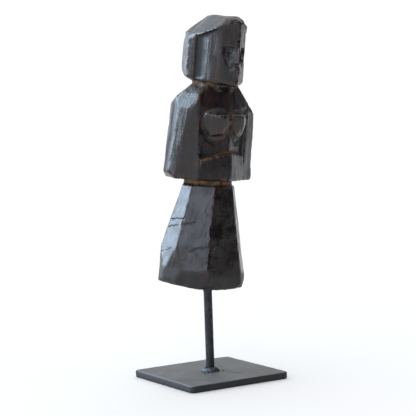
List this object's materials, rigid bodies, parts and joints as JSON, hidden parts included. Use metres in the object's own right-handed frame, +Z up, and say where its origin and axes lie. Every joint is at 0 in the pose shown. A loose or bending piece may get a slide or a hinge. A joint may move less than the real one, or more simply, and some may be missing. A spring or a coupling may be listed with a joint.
{
  "type": "carved ancestor figure on pin stand",
  "caption": "Faceted carved hardwood standing figure with a capped head and flared skirt, turning on an upright steel pin welded to a square plate.",
  "frame": {"origin": "middle of the plate's underside, on the rod's axis", "axes": "+Z up along the rod, -Y is the plate's front edge, which the figure faces, +X to the figure's left"},
  "size_m": [0.08, 0.08, 0.2564],
  "materials": {
    "blackened_steel": "blackened and waxed mild steel flat bar",
    "rod_steel": "blackened round bar",
    "weld_metal": "as-laid weld bead, blackened",
    "waxed_thread": "dark waxed thread, wound tight",
    "oiled_hardwood": "adze-cut hardwood, blackened, oiled and hand-polished"
  },
  "bodies": {
    "stand": {"base_plate": "blackened_steel", "mounting_rod": "rod_steel", "weld_bead": "weld_metal"},
    "wrap": {"pin_wrap": "waxed_thread"},
    "figure": {"carved_figure": "oiled_hardwood"}
  },
  "joints": [
    {"name": "figure_turn", "type": "hinge", "parent": "stand", "child": "wrap", "pos_m": [0, 0, 0.067], "axis": [0, 0, 1], "continuous": true},
    {"name": "figure_lift", "type": "slide", "parent": "wrap", "child": "figure", "axis": [0, 0, 1], "range_m": [0, 0.046]}
  ]
}
